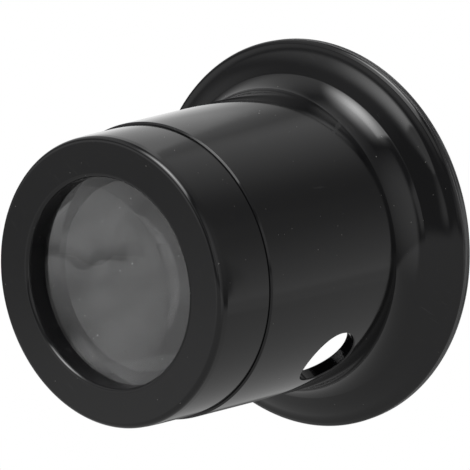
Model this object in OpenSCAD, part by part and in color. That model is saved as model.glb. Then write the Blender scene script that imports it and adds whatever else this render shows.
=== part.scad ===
// Eye loupe: a one-piece barrel with a flared eye cup, a screw-on front cap
// and a double-convex lens held between the cap lip and the barrel spigot.
// Millimetres. +Z runs along the optical axis towards the front cap.
// The origin is the centre of the eye cup's rim, on the plane it rests on.

/* [Overall] */
// height from the rim plane to the front face
total_h = 31.2; // [29:0.1:36]
// outside diameter of the eye cup's rim
rim_d = 39.9; // [39:0.1:42]
// wall thickness of the barrel and the eye cup
wall = 1.2; // [1:0.05:1.4]

/* [Front cap] */
// cap diameter at its front edge, before that edge is rounded
cap_d = 28; // [27.6:0.1:28.4]
// cap height, from the front face to the seam
cap_h = 6.85; // [6.6:0.05:7.4]
// how much wider the cap is at the seam than at the front
cap_draft = 0.4; // [0:0.05:0.5]
// diameter of the viewing opening
bore_d = 20.3; // [19:0.1:20.8]
// depth of the lip in front of the lens
lip_h = 2.55; // [2.3:0.05:2.7]
// rounding of the inner edge of the front face
inner_round = 0.45; // [0.2:0.05:0.9]
// rounding of the outer edge of the front face
edge_round = 0.58; // [0.3:0.02:0.7]
// how far the side leans in towards that edge
edge_set = 0.09; // [0:0.01:0.15]
// height of the side's part that leans in
edge_h = 2; // [1.2:0.1:2.4]

/* [Lens] */
// lens diameter
lens_d = 22.4; // [21.8:0.1:22.8]
// thickness of the lens at its ground edge
lens_edge = 1.6; // [1.2:0.05:1.8]
// how far each face bulges at the centre
lens_bulge = 1.25; // [0.4:0.05:1.4]

/* [Barrel] */
// barrel diameter at the seam
barrel_front_d = 28.88; // [28.8:0.02:29.2]
// how far the barrel's side leans out towards the eye cup, in degrees
barrel_taper = 2.03; // [1.6:0.01:2.4]

/* [Eye cup] */
// radius of the hollow curve between the barrel and the flare
hollow_round = 4; // [3.6:0.1:4.3]
// slope from the axis where the hollow curve ends, in degrees
hollow_angle = 52; // [50:0.5:54]
// slope of the flare's straight part, in degrees
flare_angle = 64; // [63:0.5:65]
// radius of the flare's swell
swell_round = 9.5; // [8.5:0.5:10.5]
// slope where the swell ends, in degrees
swell_angle = 55; // [54:0.5:56]
// radius of the curve that turns the swell flat again
lead_round = 2.5; // [2.1:0.1:2.8]
// slope where the flare meets the rim's bevel, in degrees
lead_angle = 70; // [68:0.5:72]
// height of the rim's side
rim_side = 0.96; // [0.7:0.02:1.04]

/* [Screw thread] */
// rise of the cap for one full turn
pitch = 1; // [0.9:0.05:1.1]
// crest diameter of the spigot's thread
thread_d = 25.2; // [24.8:0.1:25.3]
// height of the thread ridges
ridge_h = 0.25; // [0.1:0.05:0.3]

/* [Vent hole] */
// diameter of the air hole in the barrel
vent_d = 6.5; // [5:0.1:8]
// height of the hole's centre above the rim plane
vent_z = 12.1; // [11.5:0.05:15]

/* [Hidden] */
$fn = 64;
black = [0.05, 0.05, 0.055];
fit_gap = 0.05;       // play between the lens and what holds it
seam_gap = 0.12;      // width of the fine line between cap and barrel
crest_gap = 0.12;     // radial play between the two threads' crests
seam_z = total_h - cap_h;
lip_z = total_h - lip_h;                 // underside of the lip
lens_top = lip_z - fit_gap;
lens_bot = lens_top - lens_edge;
spigot_top = lens_bot - fit_gap;
shoulder_z = seam_z - seam_gap / 2;
cap_bot = seam_z + seam_gap / 2;
web = wall;                              // plate behind the spigot
spigot_r = 10.4;                         // clear radius behind the lens
thread_r = thread_d / 2;
root_r = thread_r - ridge_h;
nut_r = thread_r + crest_gap;            // crest radius inside the cap
nut_root = nut_r + ridge_h;
rim_r = rim_d / 2;
br0 = barrel_front_d / 2;
tilt = barrel_taper;
foot = 0.22;                             // rounding of the rim's foot
ease = 0.2;                              // rounding above the straight part
lens_rad = lens_bulge > 0 ? (spigot_r * spigot_r + lens_bulge * lens_bulge) / (2 * lens_bulge) : 1000;

// points of an arc about c, radii ra (across) and rb (up)
function arc(c, ra, rb, a0, a1, n) =
    [for (i = [0:n]) let (a = a0 + (a1 - a0) * i / n) [c[0] + ra * cos(a), c[1] + rb * sin(a)]];

// radius of the barrel's outer skin at height z
function barrel_r(z) = br0 + (seam_z - z) * tan(tilt);

// radius of the cap's side at height z, without the lean
function cap_r(z) = cap_d / 2 + cap_draft / 2 * (total_h - z) / cap_h;

// saw-tooth of n ridges from height z0 down, root radius r0, crest radius r1
function ridges(z0, n, r0, r1) = [for (i = [0:n - 1]) for (k = [0:3])
    [k == 1 || k == 2 ? r1 : r0, z0 - i * pitch - [0, 0.22, 0.34, 0.56][k] * pitch]];

function rev(v) = [for (i = [len(v) - 1:-1:0]) v[i]];

// unit step towards angle a, and unit step down a slope of a degrees
function unit(a) = [cos(a), sin(a)];
function down(a) = [sin(a), -cos(a)];

// centres of the flare's curves, worked from the rim up: the lead, the swell,
// then the straight part, as long as it takes to meet the barrel
flare_end = [rim_r - 0.39, rim_side + 0.35];
lead_c = flare_end - 0.3 * down(lead_angle) + lead_round * unit(lead_angle);
swell_c = lead_c - (lead_round + swell_round) * unit(swell_angle);
low_ease = swell_c + (swell_round + ease) * unit(flare_angle);
low_hollow = low_ease + (hollow_round - ease) * unit(hollow_angle);
low_end = low_hollow - hollow_round * unit(tilt);
straight = (low_end[0] - barrel_r(low_end[1])) / (sin(flare_angle) - cos(flare_angle) * tan(tilt));
ease_c = low_ease - straight * down(flare_angle);
hollow_c = low_hollow - straight * down(flare_angle);
// the inner skin runs straight from the swell's end to the resting face
swell_in = swell_c + (swell_round - wall) * unit(swell_angle);
foot_in = swell_in[0] + swell_in[1] * tan(swell_angle);

body_outline = concat(
    // spigot, outside, with its thread
    [[spigot_r + 0.25, spigot_top], [root_r - 0.2, spigot_top], [root_r, spigot_top - 0.2]],
    ridges(spigot_top - 0.3, 2, root_r, thread_r),
    [[root_r, shoulder_z]],
    // shoulder that faces the cap, the barrel and the flare
    [[br0 - 0.12, shoulder_z], [br0, shoulder_z - 0.1]],
    arc(hollow_c, hollow_round, hollow_round, 180 + tilt, 180 + hollow_angle, 12),
    arc(ease_c, ease, ease, 180 + (hollow_angle + flare_angle) / 2, 180 + flare_angle, 1),
    arc(swell_c, swell_round, swell_round, flare_angle, swell_angle, 4),
    arc(lead_c, lead_round, lead_round, 180 + swell_angle + (lead_angle - swell_angle) / 4, 180 + lead_angle, 3),
    [flare_end],
    // the rim's bevel, its side and its rounded foot
    [[rim_r - 0.09, rim_side + 0.16], [rim_r, rim_side]],
    arc([rim_r - foot, foot], foot, foot, 0, -90, 4),
    // resting face, and the inside of the flare and of the barrel
    arc([foot_in + foot * tan((90 - swell_angle) / 2), foot], foot, foot, 270, 180 + swell_angle, 3),
    arc(swell_c, swell_round - wall, swell_round - wall, swell_angle, flare_angle, 4),
    arc(ease_c, ease + wall, ease + wall, 180 + flare_angle, 180 + (hollow_angle + flare_angle) / 2, 1),
    arc(hollow_c, hollow_round + wall, hollow_round + wall, 180 + hollow_angle, 180 + tilt, 10),
    arc([barrel_r(shoulder_z - web) - wall - 0.6, shoulder_z - web - 0.6], 0.6, 0.6, 0, 90, 5),
    // plate and clear bore behind the lens
    [[spigot_r + 0.3, shoulder_z - web], [spigot_r, shoulder_z - web + 0.3], [spigot_r, spigot_top - 0.25]]
);

// one-piece barrel, eye cup and threaded spigot
module body() {
    color(black)
    difference() {
        rotate_extrude() polygon(body_outline);
        translate([0, -13, vent_z]) rotate([90, 0, 0]) cylinder(h = 8, d = vent_d);
    }
}

cap_outline = concat(
    // rounded inner edge of the front face
    rev(arc([bore_d / 2 + inner_round, total_h - inner_round], inner_round, inner_round, 90, 180, 8)),
    // rounded outer edge, the part that leans in, and the side
    arc([cap_r(total_h - edge_round) - edge_set - edge_round, total_h - edge_round], edge_round, edge_round, 90, 0, 8),
    [[cap_r(total_h - edge_h), total_h - edge_h]],
    [[cap_r(cap_bot + 0.1), cap_bot + 0.1], [cap_r(cap_bot + 0.1) - 0.1, cap_bot]],
    // mouth and thread
    [[nut_root + 0.15, cap_bot], [nut_root, cap_bot + 0.15]],
    rev(ridges(spigot_top + 0.02, 2, nut_root, nut_r)),
    [[nut_root, spigot_top + 0.15]],
    // lens seat
    [[lens_d / 2 + fit_gap, spigot_top + 0.15], [lens_d / 2 + fit_gap, lip_z], [bore_d / 2, lip_z]]
);

// front cap with its viewing opening, lip and inner thread
module front_cap() {
    color(black) rotate_extrude() polygon(cap_outline);
}

// double-convex lens with a flat ground band at its edge
module lens() {
    color([0.85, 0.9, 0.92, 0.35])
    union() {
        translate([0, 0, lens_bot]) cylinder(h = lens_edge, d = lens_d);
        intersection() {
            translate([0, 0, lens_top + lens_bulge - lens_rad]) sphere(r = lens_rad, $fn = 160);
            translate([0, 0, lens_bot + lens_edge / 2]) cylinder(h = lens_edge / 2 + lens_bulge + 0.1, r = spigot_r - 0.4);
        }
        intersection() {
            translate([0, 0, lens_bot - lens_bulge + lens_rad]) sphere(r = lens_rad, $fn = 160);
            translate([0, 0, lens_bot - lens_bulge - 0.1]) cylinder(h = lens_edge / 2 + lens_bulge + 0.1, r = spigot_r - 0.4);
        }
    }
}

body();
lens();
front_cap();
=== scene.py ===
import math

import bpy
import numpy as np
from mathutils import Matrix, Vector


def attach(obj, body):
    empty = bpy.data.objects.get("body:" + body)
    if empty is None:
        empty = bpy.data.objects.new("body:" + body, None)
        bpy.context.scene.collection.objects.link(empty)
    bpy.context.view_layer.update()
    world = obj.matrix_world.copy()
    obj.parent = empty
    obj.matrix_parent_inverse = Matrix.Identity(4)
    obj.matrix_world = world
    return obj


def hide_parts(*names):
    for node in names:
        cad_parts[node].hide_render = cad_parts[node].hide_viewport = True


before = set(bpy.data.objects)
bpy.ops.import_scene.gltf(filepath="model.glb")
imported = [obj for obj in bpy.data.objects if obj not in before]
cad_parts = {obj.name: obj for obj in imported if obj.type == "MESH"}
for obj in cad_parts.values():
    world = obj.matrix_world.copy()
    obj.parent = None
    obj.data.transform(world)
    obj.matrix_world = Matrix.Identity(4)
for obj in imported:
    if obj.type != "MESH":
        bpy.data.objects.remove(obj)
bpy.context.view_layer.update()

MM = 0.001
scene = bpy.context.scene

# ---------------------------------------------------------------- camera
# Where the photograph was taken from: 268 mm from the front cap, above the
# loupe and rolled over, so that the cap is on the left.
cam_data = bpy.data.cameras.new("camera")
cam = bpy.data.objects.new("camera", cam_data)
scene.collection.objects.link(cam)
scene.camera = cam
right = Vector((0.4687, -0.6174, -0.6318)).normalized()
up = Vector((0.7048, 0.6925, -0.1540))
back = right.cross(up).normalized()
up = back.cross(right).normalized()
m = Matrix((right, up, back)).transposed().to_4x4()
m.translation = Vector((148.72, -102.26, 222.29)) * MM
cam.matrix_world = Matrix.Rotation(math.radians(0.69), 4, "Z") @ m
cam_data.sensor_width = 36.0
cam_data.lens = 36.0 * 2800.0 / 470.0
cam_data.clip_start, cam_data.clip_end = 0.01, 20.0

# ---------------------------------------------------------------- shape kit
COLS = 288


def rounded(pts):
    """A closed outline of (r, z, radius) corners as (r, z, nr, nz) points,
    each corner turned into an arc, with the outline's outward normals."""
    n = len(pts)
    area = sum(pts[i][0] * pts[(i + 1) % n][1] - pts[(i + 1) % n][0] * pts[i][1] for i in range(n))
    side = 1.0 if area < 0 else -1.0
    out = []
    for i in range(n):
        p0, p, p1 = (np.array(pts[k % n][:2], float) for k in (i - 1, i, i + 1))
        rad = pts[i][2]
        a, b = p - p0, p1 - p
        la, lb = np.linalg.norm(a), np.linalg.norm(b)
        a, b = a / la, b / lb
        turn = math.atan2(a[0] * b[1] - a[1] * b[0], float(a @ b))
        if rad <= 0 or abs(turn) < 1e-4:
            t = (a + b) / np.linalg.norm(a + b)
            out.append((p[0], p[1], -side * t[1], side * t[0]))
            continue
        cut = rad * math.tan(abs(turn) / 2)
        steps = max(3, int(math.ceil(abs(math.degrees(turn)) / (7 if rad < 1 else 3))))
        start = p - a * cut
        s = 1.0 if turn > 0 else -1.0
        centre = start + s * rad * np.array((-a[1], a[0]))
        for k in range(steps + 1):
            w = turn * k / steps
            d = np.array((a[0] * math.cos(w) - a[1] * math.sin(w), a[0] * math.sin(w) + a[1] * math.cos(w)))
            q = centre - s * rad * np.array((-d[1], d[0]))
            out.append((q[0], q[1], -side * d[1], side * d[0]))
    return out


def make_mesh(name, verts, faces, normals):
    me = bpy.data.meshes.new(name)
    me.from_pydata([tuple(v) for v in (np.asarray(verts) * MM)], [], faces)
    me.validate()
    me.shade_smooth()
    me.normals_split_custom_set_from_vertices([tuple(v) for v in normals])
    ob = bpy.data.objects.new(name, me)
    scene.collection.objects.link(ob)
    return ob


def turned(outline, cols=COLS, ridge=None, skip=()):
    """Vertices, faces and normals of the outline turned about +Z. ridge(r, z, a)
    gives a radial offset for the rows it acts on; skip holds (rows, columns)
    blocks that are left open."""
    n = len(outline)
    v, nor = [], []
    for (r, z, nr, nz) in outline:
        for j in range(cols):
            a = 2 * math.pi * j / cols - math.pi / 2
            c, s = math.cos(a), math.sin(a)
            rr, ar, az = r, nr, nz
            at = 0.0
            if ridge is not None:
                h = ridge(r, z, a)
                if h is not None:
                    e = 1e-3
                    rr = r + h
                    dz = (ridge(r, z + e, a) - ridge(r, z - e, a)) / (2 * e)
                    da = (ridge(r, z, a + e) - ridge(r, z, a - e)) / (2 * e)
                    sg = 1.0 if nr > 0 else -1.0
                    ar, at, az = sg, -sg * da / rr, -sg * dz
                    ln = math.sqrt(ar * ar + at * at + az * az)
                    ar, at, az = ar / ln, at / ln, az / ln
            v.append((rr * c, rr * s, z))
            nor.append((ar * c - at * s, ar * s + at * c, az))
    faces = []
    for i in range(n):
        k = (i + 1) % n
        for j in range(cols):
            l = (j + 1) % cols
            if any(i in rows and j in columns for rows, columns in skip):
                continue
            faces.append((i * cols + j, k * cols + j, k * cols + l, i * cols + l))
    area = sum(outline[i][0] * outline[(i + 1) % n][1] - outline[(i + 1) % n][0] * outline[i][1] for i in range(n))
    if area > 0:
        faces = [f[::-1] for f in faces]
    return v, faces, nor


def smooth(x):
    x = min(1.0, max(0.0, x))
    return x * x * (3 - 2 * x)


def crest(s):
    """Height, 0 to 1, of a rounded trapezoid thread at s turns along it."""
    s = s % 1.0
    return smooth(s / 0.24) * smooth((0.62 - s) / 0.24)


# ---------------------------------------------------------------- body
H = 31.2
PITCH = 1.0
SEAM = 24.35
SHOULDER, CAP_Z = 24.33, 24.37                 # the two sides of the fine seam
VENT_R, VENT_Z = 3.25, 12.1
B0 = 14.44                                     # barrel radius at the seam
TILT = math.radians(2.03)                      # the barrel's side from the axis
WALL = 1.2


def barrel_r(z):
    return B0 + (SEAM - z) * math.tan(TILT)


NP = 28                                        # cells on a side of the vent's patch
CELL = 2 * math.pi * 14.87 / COLS              # so that they are square
patch_z = [VENT_Z + (NP / 2 - k) * CELL for k in range(NP + 1)]

# The eye cup's flare, in the same dimensions as the solid's: a hollow curve out
# of the barrel, a straight part, a swell and a lead that ends at FLARE_END.
HOLLOW, EASE, SWELL, LEAD = 4.0, 0.2, 9.5, 2.5
HOLLOW_A, FLARE_A, SWELL_A, LEAD_A = (math.radians(v) for v in (52, 64, 55, 70))
FLARE_END = (19.56, 1.31)


def unit(a):
    return np.array((math.cos(a), math.sin(a)))


def down(a):
    return np.array((math.sin(a), -math.cos(a)))


def flare_skin():
    """(r, z, slope) rows of the flare's outer skin, from the barrel to FLARE_END,
    and the index of the row where the swell ends."""
    end = np.array(FLARE_END)
    lead_c = end - 0.3 * down(LEAD_A) + LEAD * unit(LEAD_A)
    swell_c = lead_c - (LEAD + SWELL) * unit(SWELL_A)
    ease_c = swell_c + (SWELL + EASE) * unit(FLARE_A)
    hollow_c = ease_c + (HOLLOW - EASE) * unit(HOLLOW_A)
    low = hollow_c - HOLLOW * unit(TILT)
    straight = (low[0] - barrel_r(low[1])) / (math.sin(FLARE_A) - math.cos(FLARE_A) * math.tan(TILT))
    back = -straight * down(FLARE_A)
    rows = []

    def bend(c, rad, a0, a1, n):
        for k in range(n):
            a = a0 + (a1 - a0) * k / n
            q = c + rad * unit(a)
            rows.append((q[0], q[1], a))

    bend(hollow_c + back, -HOLLOW, TILT, HOLLOW_A, 28)
    bend(ease_c + back, -EASE, HOLLOW_A, FLARE_A, 3)
    top = ease_c + back - EASE * unit(FLARE_A)
    for k in range(4):
        q = top + straight * k / 4 * down(FLARE_A)
        rows.append((q[0], q[1], FLARE_A))
    bend(swell_c, SWELL, FLARE_A, SWELL_A, 9)
    swell_end = len(rows)
    bend(lead_c, -LEAD, SWELL_A, LEAD_A, 8)
    for k in range(3):
        q = end - 0.3 * (1 - k / 3) * down(LEAD_A)
        rows.append((q[0], q[1], LEAD_A))
    return rows, swell_end


flare, swell_end = flare_skin()
# every other row is enough inside; swell_end is even, so the last row stays
inner = [(r - WALL * math.cos(a), z - WALL * math.sin(a)) for (r, z, a) in flare[:swell_end + 1:2]]
foot_r = inner[-1][0] + inner[-1][1] * math.tan(SWELL_A)

body_pts = [(10.4, 26.95, 0.18), (12.35, 26.95, 0.2)]
thread_rows = [26.7 - 0.056 * k for k in range(42)]
body_pts += [(12.35, z, 0) for z in thread_rows]
body_pts += [(12.35, SHOULDER, 0.05), (B0 - 0.16, SHOULDER, 0.06), (B0, SHOULDER - 0.13, 0.06)]
body_pts += [(barrel_r(z), z, 0) for z in patch_z]
body_pts += [(r, z, 0) for (r, z, a) in flare]
body_pts += [(FLARE_END[0], FLARE_END[1], 0.5), (19.86, 1.12, 0.4), (19.945, 0.96, 0.05)]
# fine turning marks on the rim's side
body_pts += [(19.938 + 0.012 * math.cos(2 * math.pi * k / 9), 0.9 - 0.022 * k, 0) for k in range(31)]
body_pts += [(19.95, 0.0, 0.2), (foot_r, 0.0, 0.2)]
body_pts += [(r, z, 0) for (r, z) in inner[::-1]]
body_pts += [(barrel_r(z) - WALL, z, 0) for z in patch_z[::-1]]
body_pts += [(barrel_r(SHOULDER - WALL) - WALL, SHOULDER - WALL, 0.6), (10.4, SHOULDER - WALL, 0.25)]
body_line = rounded(body_pts)


def body_ridge(r, z, a):
    if abs(r - 12.35) > 1e-6 or not 24.39 <= z <= 26.72:
        return None
    keep = smooth((26.62 - z) / 0.3) * smooth((z - 24.42) / 0.3)
    return 0.25 * keep * crest(z / PITCH - a / (2 * math.pi))


def row_of(line, r_of, z):
    return min(range(len(line)), key=lambda i: abs(line[i][1] - z) + abs(line[i][0] - r_of(z)))


ro = row_of(body_line, barrel_r, patch_z[0])
ri = row_of(body_line, lambda z: barrel_r(z) - WALL, patch_z[-1])
cols_in = [(j - NP // 2) % COLS for j in range(NP)]
bv, bf, bn = turned(body_line, ridge=body_ridge,
                    skip=[(range(ro, ro + NP), cols_in), (range(ri, ri + NP), cols_in)])


def vent_patch():
    """Closes the two open blocks with a round hole whose edges are rounded."""
    edge = []                                   # perimeter, as (row step from the top, column step)
    for j in range(NP):
        edge.append((0, j))
    for i in range(NP):
        edge.append((i, NP))
    for j in range(NP):
        edge.append((NP, NP - j))
    for i in range(NP):
        edge.append((NP - i, 0))
    n = len(edge)
    R_EDGE = 0.14
    rings = []                                  # list of vertex index lists, outside to inside

    def add(p, q):
        bv.append(p)
        bn.append(q)
        return len(bv) - 1

    def skin(x, z, off):
        r = barrel_r(z) - off
        y = -math.sqrt(r * r - x * x)
        s = 1.0 if off == 0 else -1.0
        nz = math.sin(TILT)
        c = math.cos(TILT)
        return y, (s * x / r * c, s * y / r * c, s * nz)

    def side(off, first):
        got = []
        base, frame_xz = [], []
        for (i, j) in edge:
            col = (j - NP // 2) % COLS
            row = first + i if off == 0 else first + NP - i
            idx = row * COLS + col
            base.append(idx)
            frame_xz.append((bv[idx][0], bv[idx][2]))
        got.append(base)
        ts = [0.80, 0.62, 0.46, 0.32, 0.20, 0.10, 0.035, 0.0]
        for t in ts:
            ring = []
            for (x, z) in frame_xz:
                w = math.atan2(z - VENT_Z, x)
                cx, cz = (VENT_R + R_EDGE) * math.cos(w), VENT_Z + (VENT_R + R_EDGE) * math.sin(w)
                px, pz = cx + (x - cx) * t, cz + (z - cz) * t
                y, nn = skin(px, pz, off)
                ring.append(add((px, y, pz), nn))
            got.append(ring)
        for k in range(1, 7):
            a = math.pi / 2 * k / 6
            rho = VENT_R + R_EDGE * (1 - math.sin(a))
            deep = R_EDGE * (1 - math.cos(a))
            ring = []
            for (x, z) in frame_xz:
                w = math.atan2(z - VENT_Z, x)
                px, pz = rho * math.cos(w), VENT_Z + rho * math.sin(w)
                y, nn = skin(px, pz, off)
                y += deep if off == 0 else -deep
                q = np.array(nn) * math.cos(a) + np.array((-math.cos(w), 0, -math.sin(w))) * math.sin(a)
                q /= np.linalg.norm(q)
                ring.append(add((px, y, pz), tuple(q)))
            got.append(ring)
        return got

    out = side(0, ro)
    inn = side(WALL, ri)
    rings = out
    a_ring, b_ring = out[-1], inn[-1]
    mids = []
    for k in range(1, 4):
        ring = []
        for p, q in zip(a_ring, b_ring):
            P = np.array(bv[p]) + (np.array(bv[q]) - np.array(bv[p])) * k / 4
            ring.append(add(tuple(P), bn[p]))
        mids.append(ring)
    chain = out + mids + inn[::-1]
    for u, w in zip(chain, chain[1:]):
        for k in range(n):
            l = (k + 1) % n
            bf.append((u[k], w[k], w[l], u[l]))


vent_patch()
body = make_mesh("eye_cup_moulding", bv, bf, bn)

# ---------------------------------------------------------------- cap
cap_pts = [(14.2, CAP_Z, 0.06), (12.97, CAP_Z, 0.12)]
cap_pts += [(12.97, z, 0) for z in [24.56 + 0.05 * k for k in range(50)]]
cap_pts += [(12.97, 27.1, 0.05), (11.25, 27.1, 0.05), (11.25, 28.65, 0.03), (10.15, 28.65, 0.06)]
cap_pts += [(10.15, 30.62, 0.1), (10.06, 30.72, 0.1), (10.06, 31.2, 0.42)]
cap_pts += [(13.885, 31.2, 0.56), (13.975, 30.25, 3.0), (14.03, 29.2, 0)]
cap_line = rounded(cap_pts)


def cap_ridge(r, z, a):
    if abs(r - 12.97) > 1e-6 or not 24.45 <= z <= 27.09:
        return None
    keep = smooth((27.0 - z) / 0.3) * smooth((z - 24.6) / 0.3)
    return -0.25 * keep * crest(z / PITCH - a / (2 * math.pi) + 0.5)


cv, cf, cn = turned(cap_line, ridge=cap_ridge)
cap = make_mesh("screw_cap_moulding", cv, cf, cn)

# ---------------------------------------------------------------- lens
LT, LB = 28.60, 27.00                          # top and bottom of the edge band
BULGE, SR = 1.25, 10.0
LR = (10.4 ** 2 + BULGE ** 2) / (2 * BULGE)


def lens_half(sign, z_flat):
    pts = []
    cz = z_flat + sign * (BULGE - LR)
    for k in range(41):
        r = SR * k / 40
        h = math.sqrt(LR * LR - r * r)
        pts.append((r, cz + sign * h, r / LR, sign * h / LR))
    return pts


top = lens_half(1, LT)
bot = lens_half(-1, LB)
zt, zb = top[-1][1], bot[-1][1]
band = rounded([(10.0, zt, 0), (10.9, zt - 0.02, 0), (11.05, zt - 0.05, 0.05), (11.2, LT - 0.16, 0.05), (11.2, LB + 0.16, 0.05),
                (11.05, zb + 0.05, 0.05), (10.9, zb + 0.02, 0), (10.0, zb, 0)])
line = top[1:] + [p for p in band if p[0] > 10.02] + bot[1:][::-1]
n = len(line)
lv = [(0, 0, top[0][1])]
ln = [(0, 0, 1)]
lf = []
LC = 192
for (r, z, nr, nz) in line:
    for j in range(LC):
        a = 2 * math.pi * j / LC
        lv.append((r * math.cos(a), r * math.sin(a), z))
        ln.append((nr * math.cos(a), nr * math.sin(a), nz))
lv.append((0, 0, bot[0][1]))
ln.append((0, 0, -1))
for j in range(LC):
    l = (j + 1) % LC
    lf.append((0, 1 + j, 1 + l))
    for i in range(n - 1):
        lf.append((1 + i * LC + j, 1 + (i + 1) * LC + j, 1 + (i + 1) * LC + l, 1 + i * LC + l))
    lf.append((1 + (n - 1) * LC + j, len(lv) - 1, 1 + (n - 1) * LC + l))
lens = make_mesh("lens_glass", lv, lf, ln)

# ---------------------------------------------------------------- materials


def nodes_of(mat):
    mat.use_nodes = True
    t = mat.node_tree
    t.nodes.clear()
    return t, t.nodes, t.links


class Kit:
    """Short names for the nodes of one material."""

    def __init__(self, mat):
        self.t, self.N, self.L = nodes_of(mat)
        self.out = self.N.new("ShaderNodeOutputMaterial")
        self.b = self.N.new("ShaderNodeBsdfPrincipled")
        self.L.new(self.b.outputs[0], self.out.inputs[0])
        tc = self.N.new("ShaderNodeTexCoord")
        self.obj = tc.outputs["Object"]
        sep = self.N.new("ShaderNodeSeparateXYZ")
        self.L.new(self.obj, sep.inputs[0])
        x, y, self.z = (self.math("MULTIPLY", sep.outputs[k], 1000.0) for k in range(3))
        self.x, self.y = x, y
        self.r = self.math("SQRT", self.math("ADD", self.math("MULTIPLY", x, x), self.math("MULTIPLY", y, y)))

    def put(self, socket, v):
        if isinstance(v, (int, float, tuple)):
            socket.default_value = v
        else:
            self.L.new(v, socket)

    def math(self, op, a, b=0.0):
        nd = self.N.new("ShaderNodeMath")
        nd.operation = op
        self.put(nd.inputs[0], a)
        if op not in ("SQRT", "SINE"):
            self.put(nd.inputs[1], b)
        return nd.outputs[0]

    def ramp(self, v, f0, f1, t0=0.0, t1=1.0):
        nd = self.N.new("ShaderNodeMapRange")
        nd.interpolation_type = "SMOOTHSTEP"
        for k, w in zip(("Value", "From Min", "From Max", "To Min", "To Max"), (v, f0, f1, t0, t1)):
            self.put(nd.inputs[k], w)
        return nd.outputs[0]

    def mapped(self, scale, turn=(0, 0, 0), shift=(0, 0, 0)):
        nd = self.N.new("ShaderNodeMapping")
        nd.inputs["Scale"].default_value = [1000.0 * v for v in scale]
        nd.inputs["Rotation"].default_value = [math.radians(v) for v in turn]
        nd.inputs["Location"].default_value = shift
        self.L.new(self.obj, nd.inputs["Vector"])
        return nd.outputs[0]

    def noise(self, vec, scale=1.0, detail=2.0, rough=0.5, bend=0.0):
        nd = self.N.new("ShaderNodeTexNoise")
        self.L.new(vec, nd.inputs["Vector"])
        for k, w in (("Scale", scale), ("Detail", detail), ("Roughness", rough), ("Distortion", bend)):
            nd.inputs[k].default_value = w
        return nd.outputs[0]

    def specks(self, per_mm, size, few, shift=(0, 0, 0)):
        """Sparse dots: 1 inside a dot, 0 elsewhere."""
        nd = self.N.new("ShaderNodeTexVoronoi")
        self.L.new(self.mapped((per_mm,) * 3, shift=shift), nd.inputs["Vector"])
        nd.inputs["Scale"].default_value = 1.0
        sep = self.N.new("ShaderNodeSeparateColor")
        self.L.new(nd.outputs["Color"], sep.inputs[0])
        near = self.ramp(nd.outputs["Distance"], size * per_mm, 0.6 * size * per_mm)
        return self.math("MULTIPLY", near, self.ramp(sep.outputs[0], few, few + 0.02))

    def hairs(self, turn, long, wide, cut):
        """Fine straight scratches: 1 on a scratch."""
        n1 = self.noise(self.mapped((wide, long, long), turn), 1.0, 1.0, 0.4, 0.0)
        n2 = self.noise(self.mapped((0.22, 0.22, 0.22), turn, (3.0, 1.0, 7.0)), 1.0, 1.0)
        return self.math("MULTIPLY", self.ramp(n1, cut, cut + 0.025), self.ramp(n2, 0.55, 0.65))

    def line(self, nx, ny, c):
        """Distance in mm, in the plane across the axis, from a straight line."""
        return self.math("ADD", self.math("ADD", self.math("MULTIPLY", self.x, nx), self.math("MULTIPLY", self.y, ny)), -c)

    def mix(self, k, a, b):
        nd = self.N.new("ShaderNodeMix")
        nd.data_type = "RGBA"
        self.put(nd.inputs[0], k)
        for sock, v in ((nd.inputs[6], a), (nd.inputs[7], b)):
            self.put(sock, v)
        return nd.outputs[2]

    def bump(self, height, metres, normal=None):
        nd = self.N.new("ShaderNodeBump")
        nd.inputs["Strength"].default_value = 1.0
        nd.inputs["Distance"].default_value = metres
        self.L.new(height, nd.inputs["Height"])
        if normal is not None:
            self.L.new(normal, nd.inputs["Normal"])
        return nd.outputs[0]


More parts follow.
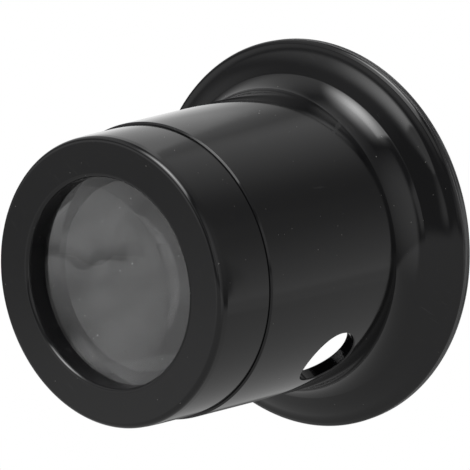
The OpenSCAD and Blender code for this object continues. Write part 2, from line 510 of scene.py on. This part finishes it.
def plastic(name, seed):
    """Polished black moulding with faint flow waves, smears, hairline
    scratches and dust. The rim's trimmed side is duller, and its grey colour
    is partly its own and partly a painted sheen, lighter in bands along the
    turning marks; the inside, behind the lens, is smoother."""
    mat = bpy.data.materials.new(name)
    k = Kit(mat)
    smear = k.noise(k.mapped((0.16, 0.16, 0.16), shift=(seed, 2.0, 5.0)), 1.0, 4.0, 0.55, 0.6)
    fine = k.noise(k.mapped((5.0, 5.0, 5.0)), 1.0, 2.0)
    wave = k.noise(k.mapped((0.55, 0.55, 0.55), shift=(seed, 0.0, 0.0)), 1.0, 3.0, 0.5)
    hair = k.math("MAXIMUM", k.hairs((20, 35, 10), 0.45, 8.0, 0.70), k.hairs((-40, 10, 60), 0.6, 9.0, 0.71))
    dust = k.math("MAXIMUM", k.specks(0.8, 0.075, 0.90, (seed, 0, 0)), k.specks(1.7, 0.05, 0.88, (0, seed, 0)))
    # bands along the rim's turning marks: they vary its roughness and carry a painted sheen in its colour
    turn_marks_and_sheen = k.noise(k.mapped((0.12, 0.12, 3.0)), 1.0, 2.0)
    side = k.math("MULTIPLY", k.ramp(k.r, 19.89, 19.93), k.ramp(k.z, 1.02, 0.94))
    within = k.math("MULTIPLY", k.ramp(k.r, 14.3, 14.1), k.ramp(k.z, 23.2, 23.0))
    within = k.math("MAXIMUM", within, k.math("MULTIPLY", k.ramp(k.r, 10.9, 10.7), k.ramp(k.z, 27.3, 27.1)))
    col = k.mix(k.math("MULTIPLY", hair, 0.2), (0.0055, 0.0055, 0.006, 1), (0.05, 0.05, 0.05, 1))
    col = k.mix(k.math("MULTIPLY", dust, 0.8), col, (0.22, 0.215, 0.205, 1))
    # painted sheen: the rim's side is lightened to grey, in bands along the turning marks, on top of its own duller
    # trimmed finish
    col = k.mix(k.math("MULTIPLY", side, k.ramp(turn_marks_and_sheen, 0.35, 0.65, 0.1, 1.0)), col, (0.11, 0.11, 0.112, 1))
    k.L.new(col, k.b.inputs["Base Color"])
    ro = k.math("ADD", k.ramp(smear, 0.35, 0.75, 0.035, 0.085), k.math("MULTIPLY", fine, 0.012))
    ro = k.math("ADD", ro, k.math("MAXIMUM", k.math("MULTIPLY", hair, 0.08), k.math("MULTIPLY", dust, 0.3)))
    ro = k.math("ADD", ro, k.math("MULTIPLY", side, k.ramp(turn_marks_and_sheen, 0.3, 0.7, 0.12, 0.26)))
    ro = k.math("ADD", ro, k.math("MULTIPLY", within, 0.01))
    k.L.new(ro, k.b.inputs["Roughness"])
    out = k.math("SUBTRACT", 1.0, within)
    n1 = k.bump(k.math("MULTIPLY", wave, out), 0.0000016)
    n2 = k.bump(k.math("MULTIPLY", k.math("SUBTRACT", fine, hair), out), 0.0000002, n1)
    k.L.new(n2, k.b.inputs["Normal"])
    k.b.inputs["IOR"].default_value = 1.5
    return mat


def glass(name):
    """Clear lens glass with a trace of haze, smears and dust on its faces and
    a ground, matt edge."""
    mat = bpy.data.materials.new(name)
    k = Kit(mat)
    smear = k.noise(k.mapped((0.11, 0.2, 0.15), (10, 20, 30), (1.0, 4.0, 2.0)), 1.0, 3.0, 0.5, 1.2)
    dust = k.math("MAXIMUM", k.specks(0.7, 0.09, 0.86, (5, 1, 0)), k.specks(1.6, 0.05, 0.9, (0, 3, 0)))
    ground = k.ramp(k.r, 10.96, 11.06)
    # what is left of wiping: a wavy clean streak and a few flat-edged patches
    run = k.math("MAXIMUM", k.math("MINIMUM", k.line(0.695, -0.718, -6.82), 5.0), 0.0)
    off = k.math("ADD", k.line(0.718, 0.695, 2.01), k.math("SINE", k.math("MULTIPLY", run, math.pi / 5)))
    wiped = k.math("MULTIPLY", k.ramp(off, -0.15, 0.05), k.ramp(off, 1.9, 0.0))
    wiped = k.math("MULTIPLY", wiped, k.ramp(k.line(0.695, -0.718, -6.82), 8.8, 8.2))
    low = k.ramp(k.line(0.603, 0.798, -7.58), 0.1, -0.1)
    right_edge = k.line(0.596, -0.803, 0.69)
    high = k.line(0.803, 0.596, 5.4)
    patch = k.math("MULTIPLY", k.math("MULTIPLY", k.ramp(right_edge, 0.0, 0.12), k.ramp(right_edge, 1.5, 1.2)), k.ramp(high, 0.0, 0.2))
    film = k.math("ADD", k.ramp(smear, 0.3, 0.7, 0.045, 0.072), k.math("MULTIPLY", low, 0.03))
    film = k.math("MULTIPLY", film, k.math("SUBTRACT", 1.0, k.math("MULTIPLY", k.math("MAXIMUM", wiped, k.math("MULTIPLY", patch, 0.3)), 0.9)))
    clear = k.math("SUBTRACT", k.math("SUBTRACT", 1.0, film), k.math("MULTIPLY", dust, 0.25))
    clear = k.math("MULTIPLY", clear, k.math("SUBTRACT", 1.0, k.math("MULTIPLY", ground, 0.6)))
    k.L.new(clear, k.b.inputs["Transmission Weight"])
    ro = k.math("ADD", k.ramp(smear, 0.3, 0.7, 0.0, 0.03), k.math("MULTIPLY", dust, 0.3))
    k.L.new(k.math("ADD", ro, k.math("MULTIPLY", ground, 0.5)), k.b.inputs["Roughness"])
    k.b.inputs["Base Color"].default_value = (0.97, 0.975, 0.98, 1)
    k.b.inputs["IOR"].default_value = 1.52
    return mat


black = plastic("black_moulding", 0.0)
cap_black = plastic("black_cap", 11.0)
clear = glass("clear_lens")
for ob, mat, node, bodyname, slot in ((body, black, "body", "body", "black_plastic"),
                                      (cap, cap_black, "front_cap", "cap", "cap_plastic"),
                                      (lens, clear, "lens", "lens", "lens_glass")):
    ob.data.materials.append(mat)
    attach(ob, bodyname)
    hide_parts(node)

# ---------------------------------------------------------------- stage
floor_me = bpy.data.meshes.new("floor")
S = 3.0
floor_me.from_pydata([(-S, -S, -0.00002), (S, -S, -0.00002), (S, S, -0.00002), (-S, S, -0.00002)], [], [(0, 1, 2, 3)])
floor = bpy.data.objects.new("floor", floor_me)
scene.collection.objects.link(floor)
fm = bpy.data.materials.new("floor_white")
t, N, L = nodes_of(fm)
out = N.new("ShaderNodeOutputMaterial")
em = N.new("ShaderNodeEmission")
path = N.new("ShaderNodeLightPath")
dim = N.new("ShaderNodeMapRange")               # white outside, in the loupe's own shade inside
dim.inputs["To Min"].default_value = 0.03
dim.inputs["To Max"].default_value = 1.0
L.new(path.outputs["Is Camera Ray"], dim.inputs["Value"])
L.new(dim.outputs[0], em.inputs["Strength"])
L.new(em.outputs[0], out.inputs[0])
floor.visible_glossy = False
floor_me.materials.append(fm)

# The studio: a dim room that is a little brighter below than above, with nine
# soft light panels around the loupe and a small one straight behind it. Each
# row: azimuth and elevation of the panel's middle and its turn, degrees, seen
# from the camera; half height and half width; how soft its two ends and its
# two sides are; its light.
PANELS = [
    (-157, 45, -54, 0.34, 0.24, 0.26, 0.13, 0.75, 0.05, 2.59),
    (-77, 55, -7, 12.00, 0.30, 0.29, 0.29, 0.87, 0.48, 0.69),
    (135, 11, -16, 0.59, 0.54, 0.27, 3.00, 0.82, 0.98, 0.71),
    (58, 64, -32, 0.30, 0.51, 0.92, 0.36, 0.26, 0.23, 0.50),
    (-4, 13, -109, 1.39, 0.03, 0.28, 0.39, 0.17, 0.46, 0.92),
    (-112, 12, 10, 0.43, 0.09, 3.00, 0.53, 0.64, 1.60, 2.54),
    (-160, 59, 30, 0.23, 0.22, 0.50, 0.58, 1.07, 0.42, 10.27),
    (43, 0, -14, 0.87, 0.13, 0.04, 0.33, 1.18, 0.19, 0.69),
    (-1, 47, 64, 0.26, 0.16, 0.28, 0.35, 0.33, 0.02, 0.26),
    (180, 0, 0, 0.18, 0.18, 0.15, 0.15, 0.15, 0.15, 0.50),
]
ROOM_EDGE, ROOM_SOFT = -14.6, 0.09
BELOW, BELOW_UP, ABOVE, ABOVE_UP = 0.48, 0.01, 0.12, -0.08

world = bpy.data.worlds.new("studio")
scene.world = world
world.use_nodes = True
WT = world.node_tree
bg = WT.nodes["Background"]
spin = Matrix.Rotation(math.radians(0.69), 3, "Z")
axes = [spin @ v for v in (right, up, -back)]
coord = WT.nodes.new("ShaderNodeTexCoord")


def to_world(v):
    return axes[0] * v[0] + axes[1] * v[1] + axes[2] * v[2]


def math_node(op, a, b):
    nd = WT.nodes.new("ShaderNodeMath")
    nd.operation = op
    for k, v in enumerate((a, b)):
        if isinstance(v, (int, float)):
            nd.inputs[k].default_value = v
        else:
            WT.links.new(v, nd.inputs[k])
    return nd.outputs[0]


def along(v):
    nd = WT.nodes.new("ShaderNodeVectorMath")
    nd.operation = "DOT_PRODUCT"
    WT.links.new(coord.outputs["Generated"], nd.inputs[0])
    nd.inputs[1].default_value = to_world(v)
    return nd.outputs["Value"]


def soft_step(v, none, full):
    nd = WT.nodes.new("ShaderNodeMapRange")
    nd.interpolation_type = "SMOOTHSTEP"
    WT.links.new(v, nd.inputs["Value"])
    nd.inputs["From Min"].default_value = none
    nd.inputs["From Max"].default_value = full
    return nd.outputs[0]


def panel(az, el, rot, hu, hw, e1, e2, e3, e4, light):
    az, el, rot = (math.radians(v) for v in (az, el, rot))
    c = Vector((math.cos(el) * math.sin(az), math.sin(el), math.cos(el) * math.cos(az)))
    u = Vector((math.cos(az), 0.0, -math.sin(az)))
    w = c.cross(u)
    u, w = u * math.cos(rot) + w * math.sin(rot), w * math.cos(rot) - u * math.sin(rot)
    d = math_node("MAXIMUM", along(c), 0.001)
    s, t = math_node("DIVIDE", along(u), d), math_node("DIVIDE", along(w), d)
    k = math_node("GREATER_THAN", along(c), 0.001)
    k = math_node("MULTIPLY", k, soft_step(s, hu + e1 / 2, hu - e1 / 2))
    k = math_node("MULTIPLY", k, soft_step(s, -hu - e2 / 2, -hu + e2 / 2))
    k = math_node("MULTIPLY", k, soft_step(t, hw + e3 / 2, hw - e3 / 2))
    k = math_node("MULTIPLY", k, soft_step(t, -hw - e4 / 2, -hw + e4 / 2))
    return math_node("MULTIPLY", k, light)


height = along((0.0, 1.0, 0.0))
edge = math.sin(math.radians(ROOM_EDGE))
over = soft_step(height, edge - ROOM_SOFT / 2, edge + ROOM_SOFT / 2)
low = math_node("MULTIPLY", math_node("ADD", math_node("MULTIPLY", height, BELOW * BELOW_UP), BELOW),
                math_node("SUBTRACT", 1.0, over))
high = math_node("MULTIPLY", math_node("ADD", math_node("MULTIPLY", height, ABOVE_UP), ABOVE), over)
light = math_node("ADD", low, high)
for row in PANELS:
    light = math_node("ADD", light, panel(*row))
light = math_node("MAXIMUM", light, 0.0)
path = WT.nodes.new("ShaderNodeLightPath")
seen = math_node("MULTIPLY", light, math_node("SUBTRACT", 1.0, path.outputs["Is Camera Ray"]))
seen = math_node("ADD", seen, path.outputs["Is Camera Ray"])
WT.links.new(seen, bg.inputs[1])
bg.inputs[0].default_value = (1, 1, 1, 1)

scene.view_settings.view_transform = "Standard"
scene.view_settings.look = "None"
